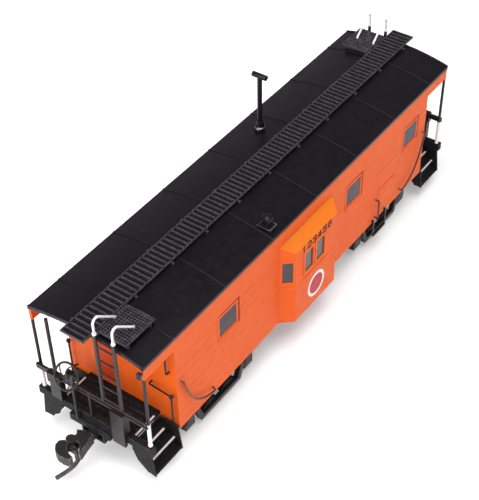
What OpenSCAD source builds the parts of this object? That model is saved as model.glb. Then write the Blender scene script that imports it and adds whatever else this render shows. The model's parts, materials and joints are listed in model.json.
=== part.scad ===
// Model caboose with bay windows, built as separate castings, wires and running gear.
// Millimetres. X runs along the car, Y across it and Z up. The origin lies under the middle
// of the car, level with the bottom of the wheel flanges. End A is at -X, end B at +X.

/* [Body] */
// Length of the body between the end walls
body_l = 122.9; // [118:0.1:128]
// Width over the body sides
body_w = 35; // [34:0.1:36]
// Thickness of the body walls
wall_t = 1; // [0.8:0.05:1.2]
// Height of the bottom edge of the body sides
sill_z = 11.5; // [11.3:0.1:12]

/* [Roof] */
// Length of the roof over both ends
roof_l = 145.6; // [142:0.1:150]
// Height of the roof's outer edge
eave_z = 44.4; // [43:0.1:46]
// Rise of the roof's crown above its edge
roof_rise = 2.3; // [1.5:0.1:3]
// Thickness of the roof shell
roof_t = 0.9; // [0.7:0.05:1.2]

/* [Bay windows] */
// How far the bays stand out from the body sides
bay_out = 3.4; // [3:0.1:4]
// Where the bays start along the car
bay_x0 = -17.4; // [-18:0.1:-16]
// Where the bays end along the car
bay_x1 = 8.3; // [7:0.1:9]

/* [Running gear] */
// Distance of each truck's pivot from the middle of the car
truck_x = 41.5; // [41:0.1:42]
// Distance between the two axles of a truck
wheelbase = 26; // [25:0.1:26.5]
// Radius of the wheel treads
tread_r = 4.8; // [4.6:0.05:4.9]
// Depth of the wheel flanges
flange_h = 0.7; // [0.5:0.05:0.8]
// Distance between the backs of the flanges
back_to_back = 14.4; // [14.2:0.05:14.6]

/* [Couplers] */
// Height of the coupler's middle above the flange bottoms
coupler_z = 10.6; // [10.5:0.05:10.8]
// Distance of the coupler's pivot from the middle of the car
coupler_x = 67.4; // [67:0.1:67.8]

/* [Hidden] */
$fn = 48;

body_hx = body_l / 2;
body_hy = body_w / 2;
roof_hx = roof_l / 2;
roof_hy = body_hy + 0.1;
crown_z = eave_z + roof_rise;
roof_r = (roof_hy * roof_hy + roof_rise * roof_rise) / (2 * roof_rise);
roof_cz = crown_z - roof_r;
wall_top = eave_z - 1;
fascia_z = sill_z + 28.6;
seam_x = [-61.5, -40.8, -20.3, 0, 20.3, 40.8, 61.5];
strap_x = [-71.6, -57.6, -43.6, -29.6, -15.6, -1.6, 12.4, 27, 42, 56, 70];

// Windows: middle along the car, width, bottom and top
window_x = [-40.4, 19.5, 51.5];
window_w = 7.2;
window_z = [sill_z + 17.8, sill_z + 24.2];
window_frame = 0.7;
jamb_groove = 0.5;
bay_mid = (bay_x0 + bay_x1) / 2;
bay_lean = 2.9;
bay_wall = 0.8;
bay_y = body_hy + bay_out;
bay_sill = sill_z + 15.3;
bay_head = sill_z + 22.2;
bay_eave = sill_z + 25.1;
bay_top = sill_z + 27.5;
bay_belt = sill_z + 12.4;

door_y = 5;
door_w = 7;
door_z = [sill_z + 3.1, sill_z + 25.6];

board_z = sill_z + 35.8;
board_t = 0.5;
board_hx = 76.4;
board_hy = 3.5;
lateral_x = [61.2, 71.8];
lateral_y = [3.9, 12.4];
ladder_y = [4.5, 10.1];
ladder_top = sill_z + 37;
ladder_x = 73.5;

platform_z = sill_z + 2.9;
platform_x = 72.4;
rail_z = platform_z + 10.4;
post_x = 72.3;
post_y = 17.1;

axle_z = tread_r + flange_h;
axle_r = 1;
journal_r = 0.6;
journal_gap = 0.06;
wheel_y = back_to_back / 2;
wheel_w = 2.8;
frame_y = [12, 14.2];
box_y = 15.5;
bolster_z = [6.2, 9.3];
bogie_gap = 0.3;
shoulder_r = 1.2;
shoulder_gap = 0.06;

box_x = [61.6, 74.4];
box_hy = 3.6;
box_z = [coupler_z - 1.1, coupler_z + 1.7];
post_r = 1.1;
swing_gap = 0.08;
pin_x = 79.6;
pin_y = 2.6;

orange = "#f26b2b";
roof_black = "#26222b";
black = "#2b2b2d";
white = "#f2f0ea";

// A box between two opposite corners
module block(a, b) {
    translate(a) cube(b - a);
}

// A round wire swept along a line of points, with flat ends
function unit(v) = v / norm(v);
function heading(p, i) = unit(p[min(i + 1, len(p) - 1)] - p[max(i - 1, 0)]);
function side_of(t) = unit(cross(t, abs(t.z) > 0.95 ? [0.1, 1, 0] : [0, 0, 1]));
module wire(p, r, sides = 8, ref = undef) {
    n = len(p);
    rings = [for (i = [0 : n - 1])
        let (t = heading(p, i), u = is_undef(ref) ? side_of(t) : unit(cross(t, ref)), v = cross(t, u))
        for (k = [0 : sides - 1]) p[i] + r * (cos(360 * k / sides) * u + sin(360 * k / sides) * v)];
    walls = [for (i = [0 : n - 2]) for (k = [0 : sides - 1])
        let (a = i * sides + k, b = i * sides + (k + 1) % sides) [a, a + sides, b + sides, b]];
    start = [for (k = [0 : sides - 1]) k];
    finish = [for (k = [0 : sides - 1]) n * sides - 1 - k];
    polyhedron(concat(rings), concat([start], walls, [finish]), convexity = 6);
}

// Points of an arc in a plane given by two unit directions
function arc(c, r, from, to, u, v, steps = 6) =
    [for (i = [0 : steps]) let (a = from + (to - from) * i / steps) c + r * (cos(a) * u + sin(a) * v)];

// What follows at end A is repeated at end B by half a turn about Z
module at_end(e) {
    rotate([0, 0, e * 180]) children();
}

// A mirrored copy of what is made for the right side, at -Y
module at_side(s) {
    if (s == "left") mirror([0, 1, 0]) children();
    else children();
}

// Solid below the roof's arch, at the radius r about the arch's axis
module arch(r, x0, x1, half_w, z0) {
    intersection() {
        translate([x0, 0, roof_cz]) rotate([0, 90, 0]) cylinder(h = x1 - x0, r = r, $fn = 128);
        block([x0, -half_w, z0], [x1, half_w, crown_z + 5]);
    }
}

module window_hole(x) {
    block([x - window_w / 2, -body_hy - 2, window_z[0]], [x + window_w / 2, -body_hy + 2, window_z[1]]);
    right = x + window_w / 2 + window_frame + 0.3;
    block([right, -body_hy - 2, window_z[0] - 1.4],
        [right + jamb_groove, -body_hy + jamb_groove, window_z[1] + 0.8]);
}

module window_frame_ring(x) {
    block([x - window_w / 2 - window_frame, -body_hy - 0.15, window_z[0] - window_frame],
        [x + window_w / 2 + window_frame, -body_hy + 0.3, window_z[1] + window_frame]);
    block([x - window_w / 2 - window_frame, -body_hy - 0.35, window_z[0] - window_frame - 0.4],
        [x + window_w / 2 + window_frame, -body_hy + 0.3, window_z[0] - window_frame + 0.1]);
}

module side_trim() {
    for (x = window_x) window_frame_ring(x);
    rib_runs = [[-body_hx + 0.3, bay_x0 - 0.3], [bay_x1 + 0.3, body_hx - 0.3]];
    for (run = rib_runs) for (i = [0 : 7])
        block([run[0], -body_hy - 0.04, sill_z + 1.9 + 3.1 * i],
            [run[1], -body_hy + 0.3, sill_z + 2.3 + 3.1 * i]);
}

module hatch() {
    block([35, -body_hy - 0.12, sill_z + 3.4], [43.5, -body_hy + 0.3, sill_z + 10.6]);
    block([34.6, -body_hy - 0.2, sill_z + 10.2], [43.9, -body_hy + 0.3, sill_z + 10.9]);
}

module body_shell() {
    color(orange) difference() {
        union() {
            block([-body_hx, -body_hy, sill_z], [body_hx, body_hy, wall_top]);
            for (e = [0, 1]) at_end(e)
                arch(roof_r - roof_t - 0.06, -body_hx, -body_hx + wall_t, body_hy, wall_top - 1);
            for (y = [-body_hy, body_hy - 0.8])
                block([-roof_hx + 0.2, y, fascia_z], [roof_hx - 0.2, y + 0.8, wall_top]);
            side_trim();
            mirror([0, 1, 0]) side_trim();
            hatch();
            rotate([0, 0, 180]) hatch();
        }
        block([-body_hx + wall_t, -body_hy + wall_t, sill_z - 1],
            [body_hx - wall_t, body_hy - wall_t, crown_z + 1]);
        for (x = window_x) {
            window_hole(x);
            mirror([0, 1, 0]) window_hole(x);
        }
        for (s = [-1, 1])
            block([bay_x0 + 1.4, s * body_hy - 2, sill_z + 2.5],
                [bay_x1 - 1.4, s * body_hy + 2, bay_top - 1.5]);
        for (e = [0, 1]) at_end(e)
            block([-body_hx - 1, door_y - door_w / 2, door_z[0]],
                [-body_hx + 2, door_y + door_w / 2, door_z[1]]);
    }
}

// The bay's outline in plan, pulled in by t all round
module bay_plan(t) {
    y = bay_y - t;
    polygon([[bay_x0 + t * 1.32, -body_hy + t / 8], [bay_x0 + bay_lean + t * 0.5, -y],
        [bay_x1 - bay_lean - t * 0.5, -y], [bay_x1 - t * 1.32, -body_hy + t / 8]]);
}

// The bay's outline seen along the car, pulled in by t at the foot, the face and the top
module bay_profile(t) {
    polygon([[-body_hy + t / 8, sill_z + t], [-bay_y + t, sill_z + t],
        [-bay_y + t, bay_eave - t * 0.8], [-body_hy + t / 8, bay_top - t]]);
}

module bay_solid(t) {
    intersection() {
        translate([0, 0, sill_z - 2]) linear_extrude(40) bay_plan(t);
        translate([bay_x0 - 1, 0, 0])
            rotate([90, 0, 90]) linear_extrude(bay_x1 - bay_x0 + 2) bay_profile(t);
    }
}

bay_pane_x = [bay_mid - 4, bay_mid + 1.6];
bay_pane_w = 3.8;
bay_end_w = 2.8;
bay_end_angle = atan2(bay_out, bay_lean);

// What follows is placed on the slanted end face of the bay, X along the face and Y outward
module on_bay_end(flip) {
    if (flip) translate([2 * bay_mid, 0, 0]) mirror([1, 0, 0]) on_bay_end(false) children();
    else translate([bay_x0 + bay_lean / 2, -body_hy - bay_out / 2, 0]) rotate([0, 0, 180 - bay_end_angle])
        children();
}

module bay_window(s) {
    color(orange) at_side(s) difference() {
        union() {
            bay_solid(0);
            intersection() {
                translate([0, 0, bay_belt]) linear_extrude(0.8) bay_plan(-0.22);
                block([bay_x0 - 1, -bay_y - 1, 0], [bay_x1 + 1, -body_hy - 0.25, 60]);
            }
            for (x = bay_pane_x)
                block([x - bay_pane_w / 2 - 0.7, -bay_y - 0.3, bay_sill - 0.7],
                    [x + bay_pane_w / 2 + 0.7, -bay_y + 0.2, bay_head + 0.6]);
        }
        bay_solid(bay_wall);
        block([bay_x0 + 1.4, -body_hy - 0.6, sill_z + 2.5], [bay_x1 - 1.4, -body_hy + 1, bay_top - 1.5]);
        for (x = bay_pane_x)
            block([x - bay_pane_w / 2, -bay_y - 1, bay_sill], [x + bay_pane_w / 2, -bay_y + 2, bay_head]);
        for (flip = [false, true]) on_bay_end(flip)
            block([-bay_end_w / 2, -1.6, bay_sill - 0.5], [bay_end_w / 2, 1.6, bay_head - 0.3]);
    }
}

module bay_glazing(s) {
    gap = 0.04;
    color("#66707c", 0.6) at_side(s) {
        for (x = bay_pane_x)
            block([x - bay_pane_w / 2 + gap, -bay_y + 0.05, bay_sill + gap],
                [x + bay_pane_w / 2 - gap, -bay_y + 0.45, bay_head - gap]);
        for (flip = [false, true]) on_bay_end(flip)
            block([-bay_end_w / 2 + gap, -0.6, bay_sill + gap - 0.5],
                [bay_end_w / 2 - gap, -0.3, bay_head - gap - 0.3]);
    }
}

module side_glazing(s) {
    gap = 0.04;
    inside = -body_hy + wall_t + 0.02;
    color("#66707c", 0.6) at_side(s) for (x = window_x) {
        block([x - window_w / 2 + gap, -body_hy - 0.05, window_z[0] + gap],
            [x + window_w / 2 - gap, inside + 0.1, window_z[1] - gap]);
        block([x - window_w / 2 - 1, inside, window_z[0] - 1],
            [x + window_w / 2 + 1, inside + 0.5, window_z[1] + 1]);
    }
}

module end_door(e) {
    color("#d8491f") at_end(e) difference() {
        union() {
            block([-body_hx + 0.3, door_y - door_w / 2 + 0.03, door_z[0] + 0.03],
                [-body_hx + 1.1, door_y + door_w / 2 - 0.03, door_z[1] - 0.03]);
            for (z = [door_z[0] + 2, door_z[0] + 7])
                block([-body_hx + 0.12, door_y - 2.3, z], [-body_hx + 0.5, door_y + 2.3, z + 3.8]);
            translate([-body_hx - 0.3, door_y - 2.7, door_z[0] + 11.5]) rotate([0, 90, 0])
                cylinder(h = 0.7, r = 0.4);
        }
        block([-body_hx - 1, door_y - 2, door_z[0] + 13.5], [-body_hx + 3, door_y + 2, door_z[0] + 20]);
    }
}

module end_door_glazing() {
    color("#66707c", 0.6) for (e = [0, 1]) at_end(e)
        block([-body_hx + 1.12, door_y - 2.5, door_z[0] + 13],
            [-body_hx + 1.5, door_y + 2.5, door_z[0] + 20.5]);
}

module roof() {
    color(roof_black) difference() {
        union() {
            arch(roof_r, -roof_hx, roof_hx, roof_hy, wall_top);
            for (x = seam_x) arch(roof_r + 0.22, x - 0.25, x + 0.25, roof_hy, wall_top);
            for (e = [0, 1]) at_end(e) arch(roof_r + 0.22, -roof_hx, -roof_hx + 0.5, roof_hy, wall_top);
        }
        translate([-roof_hx - 1, 0, roof_cz]) rotate([0, 90, 0])
            cylinder(h = roof_l + 2, r = roof_r - roof_t, $fn = 128);
    }
}

module running_board() {
    color(black) block([-board_hx, -board_hy, board_z], [board_hx, board_hy, board_z + board_t]);
}

module strap(x, y0, y1) {
    difference() {
        block([x - 0.3, y0, eave_z], [x + 0.3, y1, board_z - 0.02]);
        translate([x - 2, 0, roof_cz]) rotate([0, 90, 0]) cylinder(h = 4, r = roof_r + 0.02, $fn = 360);
    }
}

module running_board_straps() {
    color(black) {
        for (x = strap_x) strap(x, -board_hy - 0.7, board_hy + 0.7);
        for (e = [0, 1]) at_end(e) for (x = [-70.6, -62.6]) strap(x, -lateral_y[1] + 0.3, -board_hy - 0.9);
    }
}

module lateral_board(e) {
    color(black) at_end(e) block([-lateral_x[1], -lateral_y[1], board_z],
        [-lateral_x[0], -lateral_y[0], board_z + board_t]);
}

jack_at = [13.4, 9.7];
jack_top = sill_z + 52.6;
tee_half = 2.2;
module smoke_jack() {
    color(black) difference() {
        union() {
            translate([jack_at.x, jack_at.y, 45]) cylinder(h = 1.8, r = 1.5);
            translate([jack_at.x, jack_at.y, 46.5]) cylinder(h = 0.7, r1 = 1.3, r2 = 1.05);
            translate([jack_at.x, jack_at.y, 47.1]) cylinder(h = 0.7, r = 1.35);
            translate([jack_at.x, jack_at.y, 47.5]) cylinder(h = 2.1, r = 1);
            translate([jack_at.x, jack_at.y, 47]) cylinder(h = jack_top - 47, r = 0.68);
            translate([jack_at.x, jack_at.y + tee_half, jack_top]) rotate([90, 0, 0])
                cylinder(h = 2 * tee_half, r = 0.75);
        }
        translate([0, 0, roof_cz]) rotate([0, 90, 0]) cylinder(h = 40, r = roof_r + 0.02, $fn = 128);
        for (s = [-1, 1]) translate([jack_at.x, jack_at.y + s * tee_half, jack_top]) rotate([90, 0, 0])
            cylinder(h = 2, r = 0.55, center = true);
    }
}

vent_x = -19.2;
vent_y = -14.2;
module roof_vent() {
    color(black) difference() {
        union() {
            block([vent_x - 0.6, vent_y - 1.9, 44], [vent_x + 2.6, vent_y + 1.9, 46.1]);
            translate([vent_x + 1, vent_y, 45.5]) cylinder(h = 3, r = 0.75);
            translate([vent_x + 1, vent_y, 48.3]) cylinder(h = 0.5, r = 1.5);
            translate([vent_x + 1, vent_y, 48.7]) cylinder(h = 0.6, r1 = 1.5, r2 = 0.5);
        }
        translate([-40, 0, roof_cz]) rotate([0, 90, 0]) cylinder(h = 40, r = roof_r + 0.02, $fn = 128);
    }
}

module roof_grabs(e) {
    foot = [-66.2, board_z + board_t + 0.05];
    color(white) at_end(e) for (y = -ladder_y) {
        wire(concat([[-ladder_x, y, ladder_top + 0.02]],
            arc([-ladder_x + 1.2, y, sill_z + 40.3], 1.2, 180, 58, [1, 0, 0], [0, 0, 1]),
            [[foot.x - 0.5, y, foot[1] + 0.65], [foot.x, y, foot[1] + 0.35], [foot.x, y, foot[1]]]),
            0.32, ref = [0, 1, 0]);
        translate([-ladder_x, y, ladder_top + 0.02]) cylinder(h = 0.35, r = 0.55, $fn = 24);
    }
}

module ladder(e) {
    foot = rail_z + 0.6;
    color(black) at_end(e) {
        for (y = ladder_y) block([-ladder_x - 0.3, -y - 0.4, foot],
            [-ladder_x + 0.3, -y + 0.4, ladder_top]);
        for (i = [0 : 4]) translate([-ladder_x, -ladder_y[1], foot + 1.2 + 4.5 * i])
            rotate([-90, 0, 0]) cylinder(h = ladder_y[1] - ladder_y[0], r = 0.25, $fn = 24);
    }
}

module corner_posts() {
    color(black) for (x = [-post_x, post_x]) for (y = [-post_y, post_y])
        translate([x, y, platform_z + 1.5]) cylinder(h = fascia_z - platform_z - 1.52, r = 0.42, $fn = 24);
}

// A marker lamp on a bracket from the fascia, over each ladder-side corner post
module marker_lamps() {
    lamp = [-post_x - 1.35, -post_y, fascia_z + 1.6];
    color(black) for (e = [0, 1]) at_end(e) {
        translate(lamp) cylinder(h = 1.5, r = 0.62, $fn = 32);
        translate(lamp + [0, 0, 1.45]) cylinder(h = 0.5, r1 = 0.72, r2 = 0.3, $fn = 32);
        translate(lamp - [0, 0, 0.3]) cylinder(h = 0.35, r = 0.4, $fn = 32);
        for (a = [180, 90]) translate(lamp + [0, 0, 0.75]) rotate([0, 90, a])
            cylinder(h = 0.75, r = 0.36, $fn = 24);
        block(lamp + [0.3, -0.15, 0.4], lamp + [1.03, 0.15, 0.7]);
    }
}

sill_top = platform_z + 1.47;
// One end's railing: thin rails, a deep rail on the brake side, two housings,
// a stanchion and the tall post
module end_railing(e) {
    x = -post_x - 0.9;
    color(black) at_end(e) {
        for (z = [rail_z, rail_z - 1.3])
            translate([x, -post_y - 0.4, z]) rotate([-90, 0, 0])
                cylinder(h = post_y + 11, r = 0.32, $fn = 24);
        block([x - 0.35, 10.4, rail_z - 1.3], [x + 0.35, post_y + 0.4, rail_z + 0.2]);
        block([x - 0.7, -10.6, sill_top], [x + 1.2, -6.6, rail_z - 1.2]);
        block([x - 1.1, -10.6, sill_z + 0.9], [x - 0.24, -6.6, rail_z - 0.9]);
        block([x - 0.7, 9.8, sill_top], [x + 1.2, 13.2, rail_z - 2]);
        block([x - 1.1, 9.2, rail_z - 3], [x + 0.6, 13.4, rail_z + 0.3]);
        translate([x, 0.6, sill_top]) cylinder(h = rail_z - sill_top, r = 0.35, $fn = 24);
        translate([x, 11.3, rail_z]) cylinder(h = fascia_z + 4 - rail_z, r = 0.45, $fn = 24);
    }
}

wheel_hub = [-75.8, 4.6, sill_z + 18.9];
wheel_r = 3.5;
wheel_tilt = 30;
wheel_socket = 0.34;

// What follows is placed on the brake wheel's axis, Z inward and down to the stand
module on_wheel_axis() {
    translate(wheel_hub) rotate([0, 90 + wheel_tilt, 0]) children();
}

module brake_stand(e) {
    color(black) at_end(e) {
        translate([-post_x - 2, wheel_hub.y, platform_z - 0.9]) cylinder(h = 15.5, r = 0.4, $fn = 24);
        block([-post_x - 2.8, wheel_hub.y - 1.1, wheel_hub.z - 2.6],
            [-post_x - 1.4, wheel_hub.y + 1.1, wheel_hub.z + 0.2]);
        on_wheel_axis() translate([0, 0, 0.2]) cylinder(h = 1.4, r = wheel_socket - 0.04, $fn = 24);
    }
}

module brake_wheel(e) {
    color(black) at_end(e) on_wheel_axis() {
        rotate_extrude() translate([wheel_r, 0]) circle(r = 0.28, $fn = 16);
        difference() {
            translate([0, 0, -0.3]) cylinder(h = 0.6, r = 0.7);
            translate([0, 0, 0.15]) cylinder(h = 1, r = wheel_socket, $fn = 24);
        }
        for (a = [0 : 72 : 288])
            wire([for (i = [0 : 5]) let (reach = 0.5 + (wheel_r - 0.6) * i / 5, turn = a + 11 * i)
                [reach * cos(turn), reach * sin(turn), 0]], 0.16, ref = [0, 0, 1]);
    }
}

well_y = 11.4;
module platform(e) {
    color(black) at_end(e) {
        difference() {
            block([-platform_x, -well_y, platform_z - 1], [-body_hx - 0.05, well_y, platform_z]);
            for (i = [0 : 5]) block([-platform_x + 1.4 + 1.5 * i, -well_y + 0.8, platform_z - 0.15],
                [-platform_x + 1.7 + 1.5 * i, well_y - 0.8, platform_z + 1]);
        }
        block([-platform_x - 1, -post_y - 1.2, platform_z - 1],
            [-platform_x + 0.6, post_y + 1.2, platform_z + 1.45]);
        difference() {
            block([-platform_x - 1.9, -5.5, platform_z - 3.2], [-platform_x - 0.2, 7.5, platform_z - 0.9]);
            block([-platform_x - 3, -box_hy - 0.1, 0], [-platform_x + 1, box_hy + 0.1, box_z[1] + 0.02]);
        }
        block([-platform_x, -box_hy, box_z[1] + 0.02], [-body_hx - 0.05, box_hy, platform_z - 0.9]);
    }
}

// One set of corner steps, drawn for the right side of end A
module steps(e, s) {
    x0 = -platform_x - 0.55;
    x1 = -body_hx - 0.45;
    sheet = [[-11.5, 1.85], [-11.5, 0], [-12.9, -3.5], [-15.6, -5.8], [-18.4, -6.5], [-17.4, 1.85]];
    color(black) at_end(e) at_side(s) translate([0, 0, sill_z]) {
        for (x = [x0, x1 - 0.4]) translate([x, 0, 0])
            rotate([90, 0, 90]) linear_extrude(0.4) polygon(sheet);
        for (t = [[-14.3, -11.6, 0], [-16.4, -13.4, -3.1], [-18.2, -15.6, -6]])
            block([x0 + 0.2, t[0], t[2] - 0.5], [x1 - 0.2, t[1], t[2]]);
        block([x0 + 0.2, -11.85, -0.4], [x1 - 0.2, -11.5, 1.85]);
        block([x0 + 0.2, -13.7, -3.1], [x1 - 0.2, -13.4, -0.4]);
        block([x0 + 0.2, -15.9, -6], [x1 - 0.2, -15.6, -3.4]);
    }
}

grab_r = 0.28;
// How far a wire's end stops short of the wall that it is let into
wire_gap = 0.12;

// The curved grab iron's bend, as distance from the body's end and height above the sill
grab_bend = [[1.6, 16.5], [1.8, 15.6], [2.5, 13.6], [3.3, 11.2], [4.3, 8.9], [5.6, 6.8], [7.2, 5.1],
    [9, 3.8],
    [10.9, 2.9], [12.9, 2.4], [13.6, 2.5]];
module curved_grab() {
    y0 = -body_hy - wire_gap;
    y1 = -body_hy - 1;
    wire(concat([[-body_hx + 1.5, y0, sill_z + 16.7]],
        [for (p = grab_bend) [-body_hx + p.x, y1, sill_z + p.y]],
        [[-body_hx + 13.8, y0, sill_z + 2.8]]), grab_r, ref = [0.1, 1, 0]);
}

module straight_grab(x) {
    y0 = -body_hy - wire_gap;
    y1 = -body_hy - 1.3;
    wire([[x, y0, sill_z + 8.3], [x, y1 + 0.2, sill_z + 8.3], [x, y1, sill_z + 8], [x, y1, sill_z + 2],
        [x, y1 + 0.2, sill_z + 1.7], [x, y0, sill_z + 1.7]], grab_r, ref = [1, 0, 0]);
}

module side_grab_irons() {
    color("#7a2410") for (e = [0, 1]) at_end(e) {
        curved_grab();
        mirror([0, 1, 0]) curved_grab();
        straight_grab(33.4);
    }
}

module end_handrails() {
    x0 = -body_hx - 0.02;
    x1 = -body_hx - 1.2;
    y = -16.5;
    color(black) for (e = [0, 1]) at_end(e) for (m = [0, 1]) mirror([0, m, 0]) {
        if (m == 0)
            wire([[x0, -9.6, sill_z + 13.2], [x1 + 0.2, -9.6, sill_z + 13.2], [x1, -9.8, sill_z + 13.2],
                [x1, y, sill_z + 12.6]], 0.25, ref = [0, 0, 1]);
        wire([[x1, y, sill_z + 12.8], [x1, y, sill_z + 3.4], [x1 + 0.2, y + 0.2, sill_z + 3.1],
            [x0, y + 0.9, sill_z + 3.1]], 0.25, ref = [0, 1, 0]);
        translate([x1, y, sill_z + 12.6]) sphere(r = 0.62, $fn = 24);
        wire([[x0, -15.4, sill_z + 26], [x1 + 0.2, -15.4, sill_z + 26], [x1, -15.4, sill_z + 25.8],
            [x1, -15.4, sill_z + 20.2], [x1 + 0.2, -15.4, sill_z + 20], [x0, -15.4, sill_z + 20]],
            0.25, ref = [0, 1, 0]);
    }
}

module stirrup_steps() {
    y = -body_hy - 0.5;
    color(black) for (e = [0, 1]) at_end(e) {
        for (x = [32.2, 39.2]) {
            block([x - 0.3, y - 0.2, sill_z - 4.5], [x + 0.3, y + 0.2, sill_z + 1.2]);
            block([x - 0.3, y, sill_z + 0.5], [x + 0.3, -body_hy - 0.02, sill_z + 1.2]);
        }
        block([32.2, y - 0.45, sill_z - 4.9], [39.2, y + 0.45, sill_z - 4.45]);
    }
}

floor_z = [sill_z + 1.2, sill_z + 2.3];
sill_hx = 22;
sill_foot = 10.3;
module underframe() {
    color(black) difference() {
        union() {
            block([-body_hx + wall_t + 0.1, -body_hy + wall_t + 0.1, floor_z[0]],
                [body_hx - wall_t - 0.1, body_hy - wall_t - 0.1, floor_z[1]]);
            block([-body_hx + wall_t + 0.1, -3.2, 10.9], [body_hx - wall_t - 0.1, 3.2, floor_z[0] + 0.1]);
            block([-sill_hx, -3.2, sill_foot], [sill_hx, 3.2, 11]);
            for (x = [-30, -18, -6, 6, 18, 30])
                block([x - 0.4, -body_hy + wall_t + 0.3, sill_z + 0.1],
                    [x + 0.4, body_hy - wall_t - 0.3, floor_z[0] + 0.1]);
            for (x = [-truck_x, truck_x]) translate([x, 0, bolster_z[1] + bogie_gap])
                cylinder(h = floor_z[0] - bolster_z[1] - bogie_gap + 0.1, r = 3);
        }
        for (x = [-truck_x, truck_x]) translate([x, 0, 0]) cylinder(h = 40, r = 0.8);
    }
}

module weight() {
    color("#8a8d90") block([-34, -12, floor_z[1] + 0.02], [34, 12, floor_z[1] + 3.4]);
}

module air_reservoir() {
    color(black) {
        translate([-11, 9, 8.6]) rotate([0, 90, 0]) cylinder(h = 18, r = 2.4);
        for (x = [-9, 4.4]) block([x, 8.2, 10.5], [x + 0.8, 9.8, sill_z + 0.1 + 1.08]);
    }
}

module brake_cylinder() {
    color(black) {
        translate([1, -9, 8.8]) rotate([0, 90, 0]) cylinder(h = 7.5, r = 2.2);
        translate([8.4, -9, 8.8]) rotate([0, 90, 0]) cylinder(h = 0.8, r = 2.6);
        translate([9.1, -9, 8.8]) rotate([0, 90, 0]) cylinder(h = 4, r = 0.4, $fn = 24);
        block([3, -9.8, 10.5], [5, -8.2, sill_z + 1.18]);
    }
}

module control_valve() {
    color(black) {
        block([-14.5, -10.5, 8.4], [-10.5, -7, sill_z + 1.18]);
        translate([-12.5, -10.4, 9.8]) rotate([90, 0, 0]) cylinder(h = 1.4, r = 1.2);
        translate([-9, -8.8, 9.6]) rotate([0, -90, 0]) cylinder(h = 1.6, r = 0.9);
    }
}

module coupler_boxes() {
    color(black) for (e = [0, 1]) at_end(e) difference() {
        block([-box_x[1], -box_hy, box_z[0]], [-box_x[0], box_hy, box_z[1]]);
        difference() {
            block([-box_x[1] - 1, -box_hy + 0.5, box_z[0] - 1],
                [-box_x[0] - 0.6, box_hy - 0.5, box_z[1] - 0.6]);
            translate([-coupler_x, 0, 0]) cylinder(h = 20, r = post_r);
        }
        translate([-coupler_x, 0, box_z[0] - 1]) cylinder(h = 2.8, r = 0.5, $fn = 24);
    }
}

module coupler_box_lids() {
    color(black) for (e = [0, 1]) at_end(e) difference() {
        block([-box_x[1], -box_hy, box_z[0] - 0.6], [-box_x[0], box_hy, box_z[0] - 0.02]);
        translate([-coupler_x, 0, 0]) cylinder(h = 20, r = 0.6, $fn = 24);
    }
}

// A slotted pan-head screw, its head below and its shank upward
module screw(head_r, head_h, shank_r, shank_l) {
    difference() {
        union() {
            cylinder(h = head_h, r = head_r);
            translate([0, 0, head_h - 0.1]) cylinder(h = shank_l + 0.1, r = shank_r, $fn = 24);
        }
        block([-head_r - 1, -0.2, -1], [head_r + 1, 0.2, head_h * 0.45]);
    }
}

module coupler_screws() {
    color("#8a8d90") for (x = [-coupler_x, coupler_x])
        translate([x, 0, box_z[0] - 1.22]) screw(1.2, 0.6, 0.48, 1.9);
}

module centring_springs() {
    color("#b08d57") for (e = [0, 1]) at_end(e) {
        difference() {
            block([-coupler_x - 2.9, -2.9, box_z[0] + 0.02], [-coupler_x + 2.9, 2.9, box_z[0] + 0.17]);
            translate([-coupler_x, 0, 0]) cylinder(h = 20, r = 1.3);
        }
        for (y = [-2.9, 2.75]) block([-coupler_x - 5, y, box_z[0] + 0.02],
            [-coupler_x + 2.9, y + 0.15, box_z[0] + 2.1]);
    }
}

shank_z = [coupler_z - 0.75, coupler_z + 0.8];
head_z = [coupler_z - 1.6, coupler_z + 1.7];

// The coupler's head in plan, its mouth towards -X and its guard arm at -Y
module head_plan() {
    polygon([[-75.6, -1.2], [-76.6, -1.3], [-78.2, -1.5], [-79.8, -1.8], [-81.1, -2.1], [-81.7, -1.9],
        [-81.2, -1.4],
        [-80.1, -1], [-79.8, -0.2], [-79.2, 0.7], [-78.2, 1.5], [-77.4, 2.6], [-76.6, 3.2], [-75.6, 1.2]]);
}

module coupler(e) {
    color("#3a3a3c") at_end(e) difference() {
        union() {
            translate([-coupler_x, 0, shank_z[0]]) cylinder(h = shank_z[1] - shank_z[0], r = 2.1);
            block([-76.4, -1.2, shank_z[0]], [-coupler_x, 1.2, shank_z[1]]);
            translate([0, 0, head_z[0]]) linear_extrude(head_z[1] - head_z[0]) head_plan();
            for (z = [head_z[0], head_z[1] - 0.6]) translate([-pin_x, pin_y, z]) cylinder(h = 0.6, r = 1.3);
            for (z = [head_z[0], head_z[1] - 0.6]) block([-pin_x, pin_y - 1.8, z],
                [-77.5, pin_y - 0.2, z + 0.6]);
            translate([-pin_x, pin_y, head_z[0] + 0.1])
                cylinder(h = head_z[1] - head_z[0] - 0.2, r = 0.45, $fn = 24);
        }
        translate([-coupler_x, 0, 0]) cylinder(h = 20, r = post_r + swing_gap);
        translate([-pin_x, pin_y, head_z[0] + 0.6]) difference() {
            cylinder(h = head_z[1] - head_z[0] - 1.2, r = 1.65);
            translate([0, 0, -1]) cylinder(h = 10, r = 0.45, $fn = 24);
        }
    }
}

// The knuckle's hook in plan, closed over the mouth
module knuckle_plan() {
    polygon([[-80.7, 3.6], [-81.7, 4.7], [-83.1, 4.6], [-84.3, 3.7], [-85, 2.3], [-85.1, 0.4],
        [-84.7, -1.3],
        [-83.6, -1.4], [-83.3, 0.1], [-82.9, 1], [-82.1, 1.7], [-81.2, 2.1]]);
}

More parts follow.
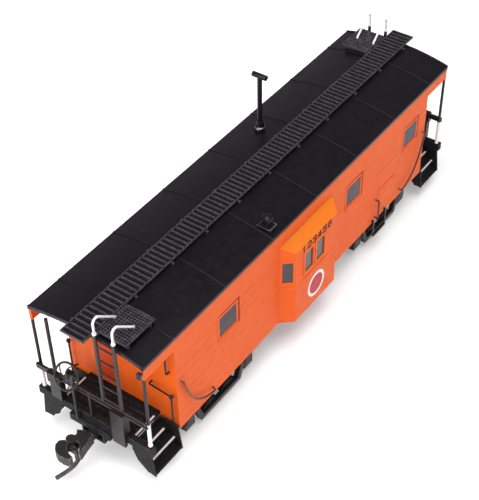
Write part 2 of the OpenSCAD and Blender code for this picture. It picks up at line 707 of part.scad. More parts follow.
// The trip pin below the knuckle, bent out like an air hose
trip_base = [-80.95, -0.1];
trip_pin = [[trip_base.x, trip_base.y, 11.2], [trip_base.x, trip_base.y, 8.6], [-81.2, -0.5, 7.5],
    [-81.9, 0.1, 6.1],
    [-82.9, 0.9, 4.8], [-84.2, 2, 3.6], [-85.9, 3.3, 2.5]];

module knuckle(e) {
    eye_z = [head_z[0] + 0.75, head_z[1] - 0.75];
    color("#3a3a3c") at_end(e) {
        difference() {
            union() {
                translate([-pin_x, pin_y, eye_z[0]]) cylinder(h = eye_z[1] - eye_z[0], r = 1.25);
                block([-81.6, pin_y - 0.6, eye_z[0]], [-pin_x, pin_y + 0.9, eye_z[1]]);
                translate([0, 0, head_z[0] + 0.15])
                    linear_extrude(head_z[1] - head_z[0] - 0.3) knuckle_plan();
                block([trip_base.x - 0.6, trip_base.y - 0.4, eye_z[0]], [trip_base.x + 0.35, 2.3, 11.2]);
            }
            translate([-pin_x, pin_y, 0]) cylinder(h = 20, r = 0.51, $fn = 24);
        }
        wire(trip_pin, 0.6, ref = [0.1, 1, 0]);
    }
}

// One side of a truck, outer face at -Y
module side_frame() {
    hw = wheelbase / 2;
    difference() {
        union() {
            translate([0, -frame_y[0], 0]) rotate([90, 0, 0]) linear_extrude(frame_y[1] - frame_y[0])
                polygon([[-hw - 3.4, 8], [-hw - 3.4, 10.2], [hw + 3.4, 10.2], [hw + 3.4, 8],
                    [hw + 2.1, 7.6], [hw + 2.1, 3.6], [hw - 2.1, 3.6], [hw - 2.1, 7.8], [8.6, 7.6],
                    [5.2, 5.2], [-5.2, 5.2], [-8.6, 7.6], [-hw + 2.1, 7.8], [-hw + 2.1, 3.6],
                    [-hw - 2.1, 3.6], [-hw - 2.1, 7.6]]);
            for (x = [-hw, hw]) {
                block([x - 1.9, -box_y + 0.4, 3.4], [x + 1.9, -frame_y[1] + 0.1, 7.6]);
                translate([x, -frame_y[1] + 0.1, axle_z + 0.2]) rotate([90, 0, 0])
                    cylinder(h = box_y - frame_y[1] - 0.1, r = 1.75);
            }
            translate([0, -frame_y[0] - 0.2, 0]) rotate([90, 0, 0]) linear_extrude(0.7)
                polygon([[-9.2, 8.6], [-8.6, 3.2], [8.6, 3.2], [9.2, 8.6]]);
            translate([0, -frame_y[1] + 0.2, 0]) rotate([90, 0, 0]) linear_extrude(1.5)
                polygon([[-10.4, 9.2], [-10.4, 6.4], [-8.8, 2.2], [8.8, 2.2], [10.4, 6.4], [10.4, 9.2],
                    [8.9, 9.2], [8.9, 6.6], [7.7, 3.5], [-7.7, 3.5], [-8.9, 6.6], [-8.9, 9.2]]);
        }
        for (x = [-hw, hw]) translate([x, -frame_y[0] + 1, axle_z]) rotate([90, 0, 0])
            cylinder(h = 2.35, r = journal_r + journal_gap);
    }
}

module truck_frame(e) {
    color(black) at_end(e) translate([-truck_x, 0, 0]) difference() {
        union() {
            side_frame();
            mirror([0, 1, 0]) side_frame();
            block([-3.4, -frame_y[0] - 0.2, bolster_z[0]], [3.4, frame_y[0] + 0.2, bolster_z[1] - 0.4]);
            block([-2.6, -box_y + 0.6, 7.1], [2.6, box_y - 0.6, bolster_z[1] - 0.4]);
            for (x = [-6.9, 5.8]) block([x, -frame_y[0] - 0.2, 8.6], [x + 1.1, frame_y[0] + 0.2, 9.2]);
            cylinder(h = bolster_z[1], r = 3);
        }
        translate([0, 0, -1]) cylinder(h = bolster_z[0] + 1.02, r = 12);
        translate([0, 0, -1]) cylinder(h = 20, r = shoulder_r + shoulder_gap);
    }
}

module leaf_stack(x) {
    for (i = [0 : 3])
        block([x - 3 + 0.5 * i, -box_y + 0.9, 3.55 + 0.4 * i],
            [x + 3 - 0.5 * i, -box_y + 2.5, 3.85 + 0.4 * i]);
    block([x - 0.45, -box_y + 0.8, 3.52], [x + 0.45, -box_y + 2.6, 5.17]);
}

module truck_springs(e) {
    color("#323234") at_end(e) translate([-truck_x, 0, 0]) for (m = [0, 1]) mirror([0, m, 0])
        for (x = [-4, 4]) leaf_stack(x);
}

module truck_screws() {
    color("#8a8d90") for (x = [-truck_x, truck_x])
        translate([x, 0, bolster_z[0] - 0.95]) {
            screw(2, 0.9, 0.78, 7);
            translate([0, 0, 0.8])
                cylinder(h = bolster_z[1] - bolster_z[0] + bogie_gap + 0.1, r = shoulder_r);
        }
}

// A wheel's section, seen from the axle outward, back of the flange at y = 0
module wheel_section() {
    polygon([[axle_r, 0], [1.9, 0], [2, 0.7], [3.7, 0.9], [3.9, 0.1], [tread_r + flange_h - 0.25, 0],
        [tread_r + flange_h, 0.25], [tread_r + flange_h - 0.05, 0.5], [tread_r + 0.12, 0.8],
            [tread_r, 1.05],
        [tread_r - 0.07, wheel_w], [3.9, wheel_w], [3.7, 1.8], [2, 1.6], [1.8, 2.5], [axle_r, 2.5]]);
}

module wheelset(x) {
    color("#3b3330") translate([x, 0, axle_z]) rotate([90, 0, 0]) {
        translate([0, 0, -frame_y[0] + 0.15]) cylinder(h = 2 * frame_y[0] - 0.3, r = axle_r);
        translate([0, 0, -frame_y[0] - 1.2]) cylinder(h = 2 * frame_y[0] + 2.4, r = journal_r);
        for (m = [0, 1]) mirror([0, 0, m]) translate([0, 0, wheel_y]) rotate_extrude($fn = 96)
            wheel_section();
    }
}

body_shell();
bay_window("left");  // bay_window_left
bay_window("right");  // bay_window_right
end_door(0);  // end_door_a
end_door(1);  // end_door_b
end_door_glazing();
side_glazing("left");  // side_glazing_left
side_glazing("right");  // side_glazing_right
bay_glazing("left");  // bay_glazing_left
bay_glazing("right");  // bay_glazing_right
roof();
running_board();
running_board_straps();
lateral_board(0);  // lateral_board_a
lateral_board(1);  // lateral_board_b
smoke_jack();
roof_vent();
roof_grabs(0);  // roof_grabs_a
roof_grabs(1);  // roof_grabs_b
ladder(0);  // ladder_a
ladder(1);  // ladder_b
corner_posts();
marker_lamps();
end_railing(0);  // end_railing_a
end_railing(1);  // end_railing_b
brake_stand(0);  // brake_stand_a
brake_stand(1);  // brake_stand_b
brake_wheel(0);  // brake_wheel_a
brake_wheel(1);  // brake_wheel_b
platform(0);  // platform_a
platform(1);  // platform_b
steps(0, "left");  // steps_a_left
steps(0, "right");  // steps_a_right
steps(1, "left");  // steps_b_left
steps(1, "right");  // steps_b_right
side_grab_irons();
end_handrails();
stirrup_steps();
underframe();
weight();
air_reservoir();
brake_cylinder();
control_valve();
coupler_boxes();
coupler_box_lids();
coupler_screws();
centring_springs();
coupler(0);  // coupler_a
coupler(1);  // coupler_b
knuckle(0);  // knuckle_a
knuckle(1);  // knuckle_b
truck_frame(0);  // truck_frame_a
truck_frame(1);  // truck_frame_b
truck_springs(0);  // truck_springs_a
truck_springs(1);  // truck_springs_b
truck_screws();
wheelset(-truck_x - wheelbase / 2);  // wheelset_a_outer
wheelset(-truck_x + wheelbase / 2);  // wheelset_a_inner
wheelset(truck_x - wheelbase / 2);  // wheelset_b_inner
wheelset(truck_x + wheelbase / 2);  // wheelset_b_outer
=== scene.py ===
"""Looks for the model caboose: materials, mesh walkways, lettering, small fittings, lights and camera.

Sizes are in millimetres in the CAD's frame and are turned into metres where meshes are made.
X runs along the car (end A at -X), Y across it and Z up from the bottom of the wheel flanges.
"""

import json
import math

import bmesh
import bpy
from mathutils import Matrix, Vector


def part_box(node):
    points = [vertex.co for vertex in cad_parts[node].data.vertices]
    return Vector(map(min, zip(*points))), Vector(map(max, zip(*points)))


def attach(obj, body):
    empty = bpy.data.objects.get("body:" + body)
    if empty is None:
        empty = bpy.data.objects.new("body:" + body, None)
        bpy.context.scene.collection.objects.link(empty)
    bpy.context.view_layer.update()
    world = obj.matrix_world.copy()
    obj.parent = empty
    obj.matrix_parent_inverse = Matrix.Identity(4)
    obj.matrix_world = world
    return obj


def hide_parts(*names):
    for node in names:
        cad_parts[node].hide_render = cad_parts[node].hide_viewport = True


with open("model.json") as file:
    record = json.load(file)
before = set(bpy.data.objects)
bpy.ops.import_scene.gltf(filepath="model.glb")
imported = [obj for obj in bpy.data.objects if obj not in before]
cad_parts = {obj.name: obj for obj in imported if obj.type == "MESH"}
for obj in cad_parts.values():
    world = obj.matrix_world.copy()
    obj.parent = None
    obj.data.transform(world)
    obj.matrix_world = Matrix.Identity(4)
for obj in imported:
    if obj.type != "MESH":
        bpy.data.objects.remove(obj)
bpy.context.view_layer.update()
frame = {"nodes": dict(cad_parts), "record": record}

MM = 0.001
NODES = frame["nodes"]

# Places in the CAD's frame, in millimetres; SILL is the height of the body's lower edge
SILL = 11.5
BODY_SIDE = 17.5
BAY_MID = -4.55
BAY_FACE = 20.9
WINDOW_MIDDLES = (-40.4, 19.5, 51.5)
POST_X, POST_Y = 72.3, 17.1
SMOKE_JACK = (13.4, 9.7)
ROOF_VENT = (-18.2, -14.2)

SIDES = ((-1, "right"), (1, "left"))
ENDS = ((-1, "a"), (1, "b"))

# Edges sharper than this, in degrees, are bevelled or split, and points this close are welded
SHARP_EDGE = 38
SHARP_WIRE_EDGE = 50
WELD_GAP = 0.002


def node_box(name):
    """A CAD node's lowest and highest corners, in millimetres."""
    low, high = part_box(name)
    return low / MM, high / MM


# ---------------------------------------------------------------- meshes


def new_piece(name, bm, body, material, bevel=0.0):
    """Turns a bmesh drawn in millimetres into a piece that rides on a body."""
    bmesh.ops.scale(bm, vec=(MM, MM, MM), verts=bm.verts)
    bmesh.ops.recalc_face_normals(bm, faces=bm.faces)
    mesh = bpy.data.meshes.new(name)
    bm.to_mesh(mesh)
    bm.free()
    piece = bpy.data.objects.new(name, mesh)
    bpy.context.scene.collection.objects.link(piece)
    mesh.materials.append(material)
    if bevel:
        round_edges(piece, bevel, SHARP_EDGE)
    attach(piece, body)
    return piece


def round_edges(piece, width, angle):
    """Shades a piece smooth below an angle in degrees and rounds its sharper edges by width in mm."""
    for polygon in piece.data.polygons:
        polygon.use_smooth = True
    weld = piece.modifiers.new("weld", "WELD")
    weld.merge_threshold = WELD_GAP * MM
    if width:
        bevel = piece.modifiers.new("bevel", "BEVEL")
        bevel.width = width * MM
        bevel.segments = 2
        bevel.limit_method = "ANGLE"
        bevel.angle_limit = math.radians(angle)
        bevel.use_clamp_overlap = True
        weighted = piece.modifiers.new("weighted", "WEIGHTED_NORMAL")
        weighted.weight = 60
    else:
        split = piece.modifiers.new("split", "EDGE_SPLIT")
        split.split_angle = math.radians(angle)


def add_box(bm, low, high):
    """A box between two opposite corners."""
    low, high = Vector(low), Vector(high)
    middle = (low + high) / 2
    matrix = Matrix.Translation(middle) @ Matrix.Diagonal((*(high - low), 1))
    bmesh.ops.create_cube(bm, size=1, matrix=matrix)


def add_lathe(bm, outline, matrix, sides=32):
    """Turns an outline of (radius, height) points about the Z axis of matrix."""
    rings = []
    for radius, height in outline:
        ring = []
        for i in range(sides):
            angle = 2 * math.pi * i / sides
            point = Vector((radius * math.cos(angle), radius * math.sin(angle), height))
            ring.append(bm.verts.new(matrix @ point))
        rings.append(ring)
    for a, b in zip(rings, rings[1:]):
        for i in range(sides):
            j = (i + 1) % sides
            bm.faces.new((a[i], a[j], b[j], b[i]))
    bm.faces.new(rings[0])
    bm.faces.new(rings[-1])


# ---------------------------------------------------------------- materials


class Finish:
    """A procedural material on one Principled shader, driven by object coordinates in metres."""

    def __init__(self, name):
        self.material = bpy.data.materials.new(name)
        self.material.use_nodes = True
        self.tree = self.material.node_tree
        self.shader = self.tree.nodes["Principled BSDF"]
        self.place = self.tree.nodes.new("ShaderNodeTexCoord").outputs["Object"]

    def node(self, kind, **settings):
        made = self.tree.nodes.new(kind)
        for key, value in settings.items():
            setattr(made, key, value)
        return made

    def link(self, a, b):
        self.tree.links.new(a, b)

    def noise(self, size_mm, detail=3.0):
        """Noise with features of about size_mm, from 0 to 1."""
        noise = self.node("ShaderNodeTexNoise")
        noise.inputs["Scale"].default_value = 1 / (size_mm * MM)
        noise.inputs["Detail"].default_value = detail
        self.link(self.place, noise.inputs["Vector"])
        return noise.outputs["Fac"]

    def between(self, value, low, high, start=0.3, end=0.7):
        """Maps value, as it goes from start to end, to a number from low to high."""
        mapped = self.node("ShaderNodeMapRange")
        mapped.inputs["From Min"].default_value = start
        mapped.inputs["From Max"].default_value = end
        mapped.inputs["To Min"].default_value = low
        mapped.inputs["To Max"].default_value = high
        self.link(value, mapped.inputs["Value"])
        return mapped.outputs["Result"]

    def mix(self, value, first, second):
        """Mixes two colours, each a colour or an output."""
        mixed = self.node("ShaderNodeMix", data_type="RGBA")
        self.link(value, mixed.inputs["Factor"])
        for socket, colour in ((mixed.inputs[6], first), (mixed.inputs[7], second)):
            if isinstance(colour, tuple):
                socket.default_value = (*colour, 1)
            else:
                self.link(colour, socket)
        return mixed.outputs[2]

    def edges(self, radius_mm):
        """1 along the piece's edges and 0 on its flats."""
        bevel = self.node("ShaderNodeBevel", samples=4)
        bevel.inputs["Radius"].default_value = radius_mm * MM
        geometry = self.node("ShaderNodeNewGeometry")
        dot = self.node("ShaderNodeVectorMath", operation="DOT_PRODUCT")
        self.link(bevel.outputs["Normal"], dot.inputs[0])
        self.link(geometry.outputs["Normal"], dot.inputs[1])
        return self.between(dot.outputs["Value"], 1, 0, 0.8, 0.98)

    def product(self, a, b):
        math_node = self.node("ShaderNodeMath", operation="MULTIPLY")
        self.link(a, math_node.inputs[0])
        self.link(b, math_node.inputs[1])
        return math_node.outputs[0]

    def bump(self, height, depth_mm):
        """Bump from a height of 0 to 1, depth_mm deep."""
        bump = self.node("ShaderNodeBump")
        bump.inputs["Distance"].default_value = depth_mm * MM
        self.link(height, bump.inputs["Height"])
        self.link(bump.outputs["Normal"], self.shader.inputs["Normal"])


def coated(name, colour, shade, rough, edge_wear_and_highlight=None, wear=0.5, metallic=0.0, grain=0.004, patch=7,
           specular=0.5, edge=0.12, painted_top_light=None):
    """Paint, moulded plastic or blackened metal, with two close colours in soft patches and a grain.

    rough is the lowest and highest roughness. The rubbed-edge colour is partly real wear and partly
    a painted highlight along edges, ribs and seams, and wear is how strongly it shows. The colour for
    faces that look up is a painted highlight, a lighter tint standing in for the light from above.
    The patches' size, the grain's depth and the lighter edges' width are in millimetres.
    """
    finish = Finish(name)
    patches = finish.between(finish.noise(patch, 4), 0, 1)
    speckle = finish.between(finish.noise(0.35, 2), 0, 1)
    base = finish.mix(finish.product(patches, speckle), colour, shade)
    # Painted highlight: faces that look up get a lighter, yellower tint standing in for the light from
    # above
    if painted_top_light:
        geometry = finish.node("ShaderNodeNewGeometry")
        separate = finish.node("ShaderNodeSeparateXYZ")
        finish.link(geometry.outputs["Normal"], separate.inputs["Vector"])
        painted_top_light_mask = finish.between(separate.outputs["Z"], 0, 0.9, 0.3, 0.85)
        base = finish.mix(painted_top_light_mask, base, painted_top_light)
    # Lighter edges: partly real wear and partly a painted highlight along edges, ribs and seams
    if edge_wear_and_highlight:
        patchy_edges = finish.between(finish.noise(1.6, 5), 0, wear, 0.42, 0.72)
        base = finish.mix(finish.product(finish.edges(edge), patchy_edges), base, edge_wear_and_highlight)
    finish.link(base, finish.shader.inputs["Base Color"])
    roughness = finish.between(finish.noise(2.2, 4), rough[0], rough[1])
    finish.link(roughness, finish.shader.inputs["Roughness"])
    finish.shader.inputs["Metallic"].default_value = metallic
    finish.shader.inputs["Specular IOR Level"].default_value = specular
    finish.bump(finish.noise(0.12, 3), grain)
    return finish.material


def window_pane(name, clean, dusty, specular):
    """Smoky clear plastic with a trace of dust and a slightly wavy surface."""
    finish = Finish(name)
    dust = finish.between(finish.noise(2.5, 5), 0, 1)
    finish.link(finish.mix(dust, clean, dusty), finish.shader.inputs["Base Color"])
    finish.shader.inputs["Specular IOR Level"].default_value = specular
    roughness = finish.between(finish.noise(1.4, 4), 0.12, 0.3)
    finish.link(roughness, finish.shader.inputs["Roughness"])
    finish.shader.inputs["Transmission Weight"].default_value = 0.05
    finish.shader.inputs["IOR"].default_value = 1.46
    finish.bump(finish.noise(3, 2), 0.01)
    return finish.material


ORANGE = (0.80, 0.118, 0.013)
ORANGE_SHADE = (0.75, 0.104, 0.011)
# Lighter orange on edges and ribs, partly wear and partly painted highlight
ORANGE_EDGE_WEAR_AND_HIGHLIGHT = (0.9, 0.26, 0.08)
MATERIALS = {
    "body": coated("orange_paint_body", ORANGE, ORANGE_SHADE, (0.42, 0.6), ORANGE_EDGE_WEAR_AND_HIGHLIGHT, specular=0.16),
    # The bay's up-facing tint is a painted highlight from the light above
    "bay": coated("orange_paint_bay_painted_top_light", ORANGE, ORANGE_SHADE, (0.42, 0.6), ORANGE_EDGE_WEAR_AND_HIGHLIGHT, specular=0.16,
                  painted_top_light=(0.80, 0.21, 0.018)),
    # The door's darker red is painted shade, a shaded copy of the body orange
    "door": coated("orange_paint_door_painted_shade", (0.60, 0.055, 0.01), (0.53, 0.046, 0.009), (0.4, 0.55),
                   (0.85, 0.2, 0.06), specular=0.16),
    "glazing": window_pane("smoky_glazing", (0.028, 0.028, 0.038), (0.05, 0.05, 0.063), 0.5),
    # The roof's lighter edges are painted highlights on the seams and eaves as well as wear
    "roof": coated("black_roof_paint", (0.0045, 0.0032, 0.0056), (0.007, 0.0054, 0.0082),
                   (0.36, 0.48), (0.05, 0.045, 0.052), 0.8, patch=12, specular=0.28),
    "roofwalk": coated("black_walkway_plastic", (0.04, 0.036, 0.042), (0.058, 0.053, 0.06),
                       (0.35, 0.5), (0.3, 0.29, 0.31), 0.9),
    "white_wire": coated("white_painted_wire", (0.86, 0.85, 0.87), (0.76, 0.75, 0.78), (0.3, 0.45),
                         (0.55, 0.54, 0.56), 0.4),
    "body_wire": coated("dark_red_wire", (0.11, 0.022, 0.012), (0.08, 0.016, 0.01), (0.35, 0.5),
                        (0.3, 0.1, 0.06)),
    "black_wire": coated("black_painted_wire", (0.011, 0.0095, 0.0095), (0.016, 0.014, 0.014),
                         (0.35, 0.5), (0.14, 0.13, 0.13), 0.9, specular=0.35),
    # The moulding's lighter edges are painted highlights on the deck's grooves as well as wear
    "black_moulding": coated("black_moulded_plastic", (0.011, 0.0108, 0.0118), (0.016, 0.0158, 0.0168),
                             (0.55, 0.7), (0.32, 0.32, 0.33), 1.0, specular=0.14, edge=0.16),
    "steel": coated("bare_steel", (0.42, 0.42, 0.44), (0.34, 0.34, 0.35), (0.3, 0.45),
                    (0.6, 0.6, 0.6), metallic=1.0),
    "spring": coated("spring_bronze", (0.46, 0.30, 0.12), (0.36, 0.22, 0.09), (0.25, 0.4),
                     (0.6, 0.45, 0.2), metallic=1.0),
    "coupler_metal": coated("blackened_coupler", (0.03, 0.027, 0.027), (0.042, 0.038, 0.037),
                            (0.35, 0.5), (0.7, 0.68, 0.67), 1.0, metallic=0.4, specular=0.3,
                            edge=0.3),
    "truck": coated("black_truck_plastic", (0.013, 0.0115, 0.012), (0.02, 0.018, 0.019), (0.4, 0.6),
                    (0.12, 0.11, 0.11), 0.8, specular=0.35),
    "wheel": coated("blackened_wheel", (0.05, 0.042, 0.038), (0.075, 0.062, 0.055), (0.3, 0.45),
                    (0.35, 0.33, 0.31), 1.0, metallic=0.7),
}

SIDE_PANE = window_pane("dark_side_glazing", (0.02, 0.018, 0.03), (0.05, 0.042, 0.058), 0.16)
SIDE_GLAZING = ("side_glazing_left", "side_glazing_right")
CAD_EDGE = 0.05
WIRES = ("roof_grabs_a", "roof_grabs_b", "side_grab_irons", "end_handrails")
for subpart in frame["record"]["subparts"]:
    node = NODES[subpart["node"]]
    node.data.materials.clear()
    side_pane = subpart["node"] in SIDE_GLAZING
    node.data.materials.append(SIDE_PANE if side_pane else MATERIALS[subpart["material_slot"]])
    if subpart["node"] in WIRES:
        round_edges(node, 0, SHARP_WIRE_EDGE)
    else:
        round_edges(node, CAD_EDGE, SHARP_EDGE)

# ---------------------------------------------------------------- walkways

# Near-black for the plate under the walkways and their low bars: painted shade under and between the
# bars
WALKWAY_SHADE = coated("walkway_painted_shade", (0.009, 0.007, 0.009), (0.013, 0.01, 0.013), (0.6, 0.8),
                       specular=0.2)
LONG_BAR_STEP = 0.84
CROSS_BAR_STEP = 0.83
EDGE_BAR = 0.32


def mesh_board(name, replaced, square):
    """An open grid walkway in place of a CAD board: edge bars, bars along it and bars across it.

    A square grid has thin bars, all nearly as high as its edges. The other has every second cross
    bar wide and at full height, and bars set low between them in a near-black painted shade. A
    near-black plate under the grid is painted shade seen through its holes.
    """
    low, high = node_box(replaced)
    bm = bmesh.new()
    add_box(bm, low, (high.x, low.y + EDGE_BAR, high.z))
    add_box(bm, (low.x, high.y - EDGE_BAR, low.z), high)
    for x in (low.x, high.x - EDGE_BAR):
        end = (x + EDGE_BAR, high.y - EDGE_BAR / 2, high.z)
        add_box(bm, (x, low.y + EDGE_BAR / 2, low.z), end)
    first_low_bar = len(bm.faces)
    top = high.z - (0.04 if square else 0.2)
    count = round((high.y - low.y) / LONG_BAR_STEP)
    for i in range(1, count):
        y = low.y + (high.y - low.y) * i / count
        add_box(bm, (low.x + 0.1, y - 0.06, low.z + 0.05), (high.x - 0.1, y + 0.06, top))
    top = high.z - (0.06 if square else 0.16)
    count = round((high.x - low.x) / CROSS_BAR_STEP)
    for i in range(1, count, 2):
        x = low.x + (high.x - low.x) * i / count
        add_box(bm, (x - 0.07, low.y + 0.1, low.z), (x + 0.07, high.y - 0.1, top))
    first_high_bar = len(bm.faces)
    half = 0.12 if square else 0.2
    for i in range(2, count, 2):
        x = low.x + (high.x - low.x) * i / count
        add_box(bm, (x - half, low.y + 0.1, low.z), (x + half, high.y - 0.1, high.z))
    # A near-black plate under the grid, painted shade seen through the holes
    first_shade_plate_face = len(bm.faces)
    inset = Vector((0.15, 0.15, 0))
    add_box(bm, low + inset + Vector((0, 0, 0.02)), Vector((high.x, high.y, low.z + 0.1)) - inset)
    bm.faces.ensure_lookup_table()
    shade_faces = bm.faces[first_shade_plate_face:]
    if not square:
        shade_faces = shade_faces + bm.faces[first_low_bar:first_high_bar]
    for face in shade_faces:
        face.material_index = 1
    board = new_piece(name, bm, "car", MATERIALS["roofwalk"])
    board.data.materials.append(WALKWAY_SHADE)
    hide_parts(replaced)


mesh_board("running_board_grid", "running_board", False)
mesh_board("lateral_grid_a", "lateral_board_a", True)
mesh_board("lateral_grid_b", "lateral_board_b", True)

# ---------------------------------------------------------------- bay lettering and emblem

BLACK_INK = coated("black_lettering", (0.008, 0.004, 0.004), (0.014, 0.007, 0.006), (0.45, 0.6),
                   grain=0.001, specular=0.1)
WHITE_INK = coated("white_emblem", (0.82, 0.80, 0.78), (0.72, 0.69, 0.66), (0.35, 0.5), grain=0.001)
RED_INK = coated("red_emblem", (0.5, 0.012, 0.03), (0.42, 0.01, 0.024), (0.35, 0.5), grain=0.001,
                 specular=0.25)

# Digit strokes on a cell one wide and one high
STROKES = {
    "1": [(0.2, 0.8), (0.5, 1), (0.5, 0)],
    "2": [(0, 0.8), (0.2, 1), (0.8, 1), (1, 0.8), (1, 0.6), (0, 0), (1, 0)],
    "3": [(0, 0.85), (0.2, 1), (0.8, 1), (1, 0.8), (0.85, 0.55), (0.4, 0.53), (0.85, 0.5), (1, 0.3),
          (0.8, 0), (0.2, 0), (0, 0.15)],
    "4": [(0.75, 0), (0.75, 1), (0, 0.3), (1, 0.3)],
    "5": [(0.95, 1), (0.08, 1), (0.05, 0.58), (0.7, 0.6), (1, 0.4), (1, 0.18), (0.8, 0), (0.2, 0),
          (0, 0.15)],
    "6": [(0.9, 0.95), (0.35, 1), (0, 0.6), (0, 0.2), (0.2, 0), (0.8, 0), (1, 0.2), (1, 0.4),
          (0.8, 0.57), (0.2, 0.57), (0, 0.4)],
}
DIGITS = "123456"
DIGIT_WIDTH, DIGIT_HEIGHT = 1.6, 1.95
DIGIT_PITCH = 2.5
DIGIT_FOOT = 22.95
STROKE = 0.4
EMBLEM_MIDDLE = (BAY_MID + 0.3, 6.6)
EMBLEM_RING = [(4.1, -0.02), (4.1, 0.03), (4, 0.05), (3.25, 0.05), (3.2, 0.03), (3.2, -0.02)]
EMBLEM_DISC = [(3.2, -0.02), (3.2, 0.03), (3, 0.045), (0.4, 0.055)]


def bay_plane(side, x, height):
    """The bay's outer face as a drawing plane: X to the reader's right, Y up and Z outward.

    Its origin is at x along the car and at a height above the sill.
    """
    across = Vector((-side, 0, 0))
    outward = Vector((0, side, 0))
    turn = Matrix((across, (0, 0, 1), outward)).transposed().to_4x4()
    return Matrix.Translation((x, side * BAY_FACE, SILL + height)) @ turn


def add_stroke(bm, plane, a, b, width, proud):
    """A flat bar from a to b on a drawing plane."""
    a, b = Vector((*a, 0)), Vector((*b, 0))
    along = b - a
    turn = Matrix.Rotation(math.atan2(along.y, along.x), 4, "Z")
    size = Matrix.Diagonal((along.length + width * 0.8, width, proud * 2, 1))
    bmesh.ops.create_cube(bm, size=1, matrix=plane @ Matrix.Translation((a + b) / 2) @ turn @ size)


for side, label in SIDES:
    plane = bay_plane(side, BAY_MID, DIGIT_FOOT)
    bm = bmesh.new()
    for i, digit in enumerate(DIGITS):
        start = (i - (len(DIGITS) - 1) / 2) * DIGIT_PITCH - DIGIT_WIDTH / 2
        points = [(start + u * DIGIT_WIDTH, v * DIGIT_HEIGHT) for u, v in STROKES[digit]]
        for a, b in zip(points, points[1:]):
            add_stroke(bm, plane, a, b, STROKE, 0.03)
    new_piece("bay_digits_" + label, bm, "car", BLACK_INK)
    plane = bay_plane(side, *EMBLEM_MIDDLE)
    bm = bmesh.new()
    add_lathe(bm, EMBLEM_RING, plane, 64)
    new_piece("emblem_ring_" + label, bm, "car", WHITE_INK)
    bm = bmesh.new()
    add_lathe(bm, EMBLEM_DISC, plane, 64)
    new_piece("emblem_disc_" + label, bm, "car", RED_INK)

# ---------------------------------------------------------------- dark red strips painted as shade by the side windows

# A dark red painted shade in the window jambs and heads, laid on the wall as thin strips
JAMB_SHADE = coated("jamb_shade", (0.36, 0.03, 0.006), (0.3, 0.025, 0.005), (0.5, 0.65), specular=0.15)
# Each groove's reach from the window's middle and from the sill, in millimetres
JAMB_X = (4.55, 5.2)
JAMB_Z = (16.6, 24.8)
HEAD_X = (-3.4, 5.2)
HEAD_Z = (24.95, 25.15)
JAMB_DEPTH = 0.15
JAMB_PROUD = 0.06

for side, label in SIDES:
    near, far = sorted((side * (BODY_SIDE - JAMB_DEPTH), side * (BODY_SIDE + JAMB_PROUD)))
    bm = bmesh.new()
    for middle in WINDOW_MIDDLES:
        for xs, zs in ((JAMB_X, JAMB_Z), (HEAD_X, HEAD_Z)):
            low = (middle + xs[0], near, SILL + zs[0])
            high = (middle + xs[1], far, SILL + zs[1])
            add_box(bm, low, high)
    new_piece("window_jamb_painted_shade_" + label, bm, "car", JAMB_SHADE, 0.03)

# ---------------------------------------------------------------- white fittings at the platforms


def at_end(end, x, y, z):
    """A point drawn for end A, turned half round the car's middle for end B; z is above the sill."""
    return (x, y, SILL + z) if end < 0 else (-x, -y, SILL + z)


def end_box(bm, end, low, high):
    """A box drawn for end A between two corners."""
    a, b = Vector(at_end(end, *low)), Vector(at_end(end, *high))
    add_box(bm, [min(p, q) for p, q in zip(a, b)], [max(p, q) for p, q in zip(a, b)])


SLEEVE_FOOT = 4.4
SLEEVE = [(0.44, 0), (0.54, 0), (0.6, 0.15), (0.6, 0.5), (0.5, 0.6), (0.5, 7.6), (0.56, 7.7),
          (0.56, 8.0), (0.5, 8.1), (0.44, 8.1)]
# Each step's two ends along the car, its outer edge across it and its height above the sill
STEPS = ((-71.9, -63.6, 11.45, 2.9), (-71.6, -63.6, 14.3, 0), (-72.5, -62.3, 16.4, -3.1))
STRIP_WIDTH = 0.5

for end, label in ENDS:
    bm = bmesh.new()
    for y in (-POST_Y, POST_Y):
        foot = at_end(end, -POST_X, y, SLEEVE_FOOT)
        add_lathe(bm, SLEEVE, Matrix.Translation(foot), 24)
    new_piece("post_sleeves_" + label, bm, "car", MATERIALS["white_wire"])
    bm = bmesh.new()
    for side in (-1, 1):
        for near, far, edge, z in STEPS:
            inner, outer = sorted((side * edge, side * (edge - STRIP_WIDTH)))
            end_box(bm, end, (near, inner, z - 0.12), (far, outer, z + 0.1))
    new_piece("step_edges_" + label, bm, "car", MATERIALS["white_wire"], 0.04)

# ---------------------------------------------------------------- roof fittings

COLLAR = [(1.3, 47.1), (1.42, 47.15), (1.42, 47.35), (1.36, 47.42), (1.42, 47.5), (1.42, 47.72),
          (1.3, 47.8)]
CAP_RING = [(1.4, 48.2), (1.56, 48.25), (1.6, 48.5), (1.56, 48.78), (1.4, 48.82)]
bm = bmesh.new()
add_lathe(bm, COLLAR, Matrix.Translation((*SMOKE_JACK, 0)), 40)
new_piece("smoke_jack_collar", bm, "car", MATERIALS["steel"])

bm = bmesh.new()
add_lathe(bm, CAP_RING, Matrix.Translation((*ROOF_VENT, 0)))
new_piece("vent_cap_ring", bm, "car", MATERIALS["roof"])

# A thin bright rim round the vent's square flange
RIM = 0.16
low = Vector((ROOF_VENT[0] - 1.65, ROOF_VENT[1] - 1.95, 46))
high = Vector((ROOF_VENT[0] + 1.65, ROOF_VENT[1] + 1.95, 46 + RIM))
bm = bmesh.new()
for y in (low.y, high.y - RIM):
    add_box(bm, (low.x, y, low.z), (high.x, y + RIM, high.z))
for x in (low.x, high.x - RIM):
    add_box(bm, (x, low.y, low.z), (x + RIM, high.y, high.z))
new_piece("vent_flange_rim", bm, "car", MATERIALS["steel"], 0.03)

# ---------------------------------------------------------------- floor, lights and camera

MODEL_MIDDLE = Vector((0, 0, 0.02))


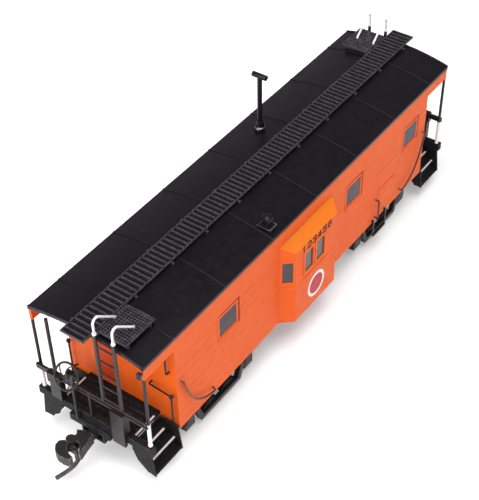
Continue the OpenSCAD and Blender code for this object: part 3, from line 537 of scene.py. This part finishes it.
def softbox(name, place, width, height, power):
    """A rectangular area light that faces the model."""
    data = bpy.data.lights.new(name, "AREA")
    data.shape = "RECTANGLE"
    data.size = width
    data.size_y = height
    data.energy = power
    light = bpy.data.objects.new(name, data)
    light.location = place
    facing = MODEL_MIDDLE - Vector(place)
    light.rotation_euler = facing.to_track_quat("-Z", "Y").to_euler()
    bpy.context.scene.collection.objects.link(light)


FLOOR_HALF = 3000
PAPER, PAPER_SHADE = (0.95, 0.95, 0.95), (0.93, 0.93, 0.93)
bm = bmesh.new()
bmesh.ops.create_grid(bm, x_segments=1, y_segments=1, size=FLOOR_HALF)
bmesh.ops.scale(bm, vec=(MM, MM, MM), verts=bm.verts)
floor_mesh = bpy.data.meshes.new("floor")
bm.to_mesh(floor_mesh)
bm.free()
floor = bpy.data.objects.new("floor", floor_mesh)
bpy.context.scene.collection.objects.link(floor)
paper = Finish("white_paper")
paper_colour = paper.mix(paper.noise(40, 3), PAPER_SHADE, PAPER)
paper.link(paper_colour, paper.shader.inputs["Base Color"])
paper.shader.inputs["Roughness"].default_value = 0.9
paper.shader.inputs["Emission Color"].default_value = (1, 1, 1, 1)
paper.shader.inputs["Emission Strength"].default_value = 0.25
floor_mesh.materials.append(paper.material)

# The surroundings are white low down and dark overhead, so that the black roof stays black
world = bpy.data.worlds.new("studio")
bpy.context.scene.world = world
world.use_nodes = True
tree = world.node_tree
coordinates = tree.nodes.new("ShaderNodeTexCoord")
separate = tree.nodes.new("ShaderNodeSeparateXYZ")
ramp = tree.nodes.new("ShaderNodeValToRGB")
ramp.color_ramp.elements[0].position = 0.45
ramp.color_ramp.elements[0].color = (1, 1, 1, 1)
ramp.color_ramp.elements[1].position = 0.72
ramp.color_ramp.elements[1].color = (0.1, 0.09, 0.11, 1)
background = tree.nodes["Background"]
background.inputs["Strength"].default_value = 0.4
tree.links.new(coordinates.outputs["Generated"], separate.inputs["Vector"])
tree.links.new(separate.outputs["Z"], ramp.inputs["Fac"])
tree.links.new(ramp.outputs["Color"], background.inputs["Color"])

softbox("key", (-0.35, -0.75, 0.75), 0.9, 0.7, 1.2)
softbox("fill_end", (-0.9, 0.25, 0.6), 0.7, 0.7, 8.5)
softbox("top", (-0.2, -0.22, 1.15), 0.8, 0.8, 12)

AZIMUTH, ELEVATION, ROLL = (math.radians(v) for v in (-53.98, 42.68, -1.19))
TARGET = Vector((-16.99, -4.57, 31.5)) * MM
DISTANCE = 309.67 * MM
out = math.cos(ELEVATION)
back = Vector((math.sin(AZIMUTH) * out, -math.cos(AZIMUTH) * out, math.sin(ELEVATION)))
right = Vector((0, 0, 1)).cross(back).normalized()
up = back.cross(right)
rolled_right = right * math.cos(ROLL) + up * math.sin(ROLL)
rolled_up = up * math.cos(ROLL) - right * math.sin(ROLL)
camera_data = bpy.data.cameras.new("camera")
camera_data.lens = 84.16
camera_data.clip_start = 0.01
camera_data.clip_end = 20
camera = bpy.data.objects.new("camera", camera_data)
turn = Matrix((rolled_right, rolled_up, back)).transposed().to_4x4()
camera.matrix_world = Matrix.Translation(TARGET + back * DISTANCE) @ turn
bpy.context.scene.collection.objects.link(camera)
bpy.context.scene.camera = camera
bpy.context.scene.view_settings.view_transform = "Standard"
